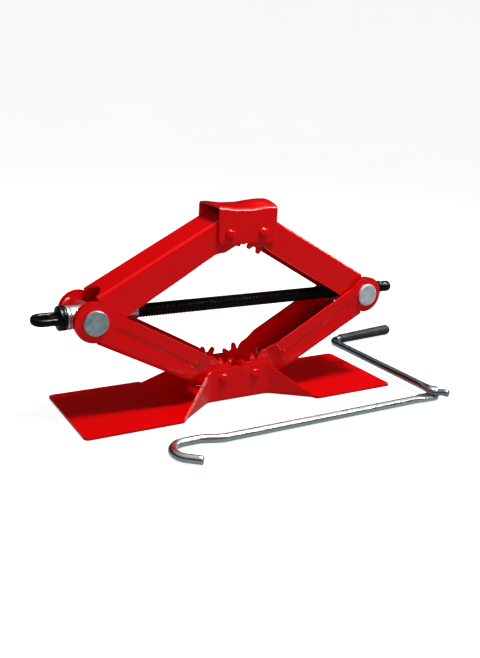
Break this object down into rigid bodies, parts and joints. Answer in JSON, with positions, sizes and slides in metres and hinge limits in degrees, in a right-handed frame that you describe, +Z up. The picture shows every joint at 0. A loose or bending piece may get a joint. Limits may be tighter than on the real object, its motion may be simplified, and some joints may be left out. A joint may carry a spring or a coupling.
{
  "type": "scissor jack",
  "caption": "Scissor jack with pressed channel arms, geared pivots, a lead screw with an eye, a load saddle, and a folding crank handle with a hook lying beside it.",
  "frame": {"origin": "middle of the base's underside, on the ground", "axes": "+Z up; +X along the lead screw, away from its eye; -Y towards the side where the handle lies"},
  "size_m": [0.528, 0.2552, 0.2093],
  "materials": {
    "red_paint": "glossy red paint",
    "zinc_plate": "satin zinc plate",
    "bearing_steel": "ground bright steel",
    "cage_brass": "pressed brass",
    "black_oxide": "black oxide",
    "zinc_bar": "bright zinc plate",
    "grip_plastic": "moulded black plastic"
  },
  "bodies": {
    "base": {"base_plate": "red_paint", "base_pin_left": "red_paint", "base_pin_right": "red_paint"},
    "arm_lower_left": {"lower_arm_left": "red_paint"},
    "arm_lower_right": {"lower_arm_right": "red_paint"},
    "arm_upper_left": {"upper_arm_left": "red_paint"},
    "arm_upper_right": {"upper_arm_right": "red_paint"},
    "screw_pin_left": {"bearing_trunnion": "zinc_plate", "trunnion_caps_left": "zinc_plate", "spacer_washers_left": "zinc_plate", "bearing_sleeve": "zinc_plate", "thrust_washer": "bearing_steel"},
    "screw_pin_right": {"nut_trunnion": "zinc_plate", "trunnion_caps_right": "zinc_plate", "spacer_washers_right": "zinc_plate"},
    "load_saddle": {"saddle": "red_paint", "saddle_pin_left": "red_paint", "saddle_pin_right": "red_paint"},
    "screw": {"lead_screw": "black_oxide", "screw_eye": "black_oxide", "bearing_cup": "bearing_steel", "bearing_balls": "bearing_steel", "ball_cage": "cage_brass", "stop_sleeve": "zinc_plate"},
    "handle_bar": {"hook_rod": "zinc_bar", "hinge_rivet": "zinc_bar"},
    "crank": {"crank_arm": "zinc_bar", "grip_retainer": "zinc_bar"},
    "grip": {"grip_sleeve": "grip_plastic"}
  },
  "joints": [
    {"name": "lift", "type": "hinge", "parent": "base", "child": "arm_lower_left", "pos_m": [-0.0193, 0, 0.026], "axis": [0, 1, 0], "range_deg": [-19.4, 46.6]},
    {"name": "lower_right_fold", "type": "hinge", "parent": "base", "child": "arm_lower_right", "pos_m": [0.0193, 0, 0.026], "axis": [0, 1, 0], "range_deg": [-46.6, 19.4]},
    {"name": "upper_left_fold", "type": "hinge", "parent": "arm_lower_left", "child": "arm_upper_left", "pos_m": [-0.16004, 0, 0.1021], "axis": [0, 1, 0], "range_deg": [-93.2, 38.8]},
    {"name": "upper_right_fold", "type": "hinge", "parent": "arm_lower_right", "child": "arm_upper_right", "pos_m": [0.16004, 0, 0.1021], "axis": [0, 1, 0], "range_deg": [-38.8, 93.2]},
    {"name": "screw_pin_left_swivel", "type": "hinge", "parent": "arm_lower_left", "child": "screw_pin_left", "pos_m": [-0.16004, 0, 0.1021], "axis": [0, 1, 0], "range_deg": [-46.6, 19.4]},
    {"name": "screw_pin_right_swivel", "type": "hinge", "parent": "arm_lower_right", "child": "screw_pin_right", "pos_m": [0.16004, 0, 0.1021], "axis": [0, 1, 0], "range_deg": [-19.4, 46.6]},
    {"name": "saddle_swivel", "type": "hinge", "parent": "arm_upper_left", "child": "load_saddle", "pos_m": [-0.0193, 0, 0.1782], "axis": [0, 1, 0], "range_deg": [-19.4, 46.6]},
    {"name": "screw_spin", "type": "hinge", "parent": "screw_pin_left", "child": "screw", "pos_m": [-0.16004, 0, 0.1021], "axis": [1, 0, 0], "continuous": true},
    {"name": "handle_slide", "type": "slide", "parent": "base", "child": "handle_bar", "axis": [0, -1, 0], "range_m": [0, 0.12]},
    {"name": "crank_fold", "type": "hinge", "parent": "handle_bar", "child": "crank", "pos_m": [0.197, -0.1105, 0.01], "axis": [0, 0, 1], "range_deg": [-180, 0]},
    {"name": "grip_spin", "type": "hinge", "parent": "crank", "child": "grip", "pos_m": [0.26611, 0.09644, 0.0069], "axis": [0.9926, 0.1212, 0], "continuous": true}
  ],
  "couplings": [
    {"joint": "lower_right_fold", "follows": "lift", "ratio": -1},
    {"joint": "upper_left_fold", "follows": "lift", "ratio": -2},
    {"joint": "upper_right_fold", "follows": "lift", "ratio": 2},
    {"joint": "screw_pin_left_swivel", "follows": "lift", "ratio": -1},
    {"joint": "screw_pin_right_swivel", "follows": "lift", "ratio": 1},
    {"joint": "saddle_swivel", "follows": "lift", "ratio": 1}
  ]
}
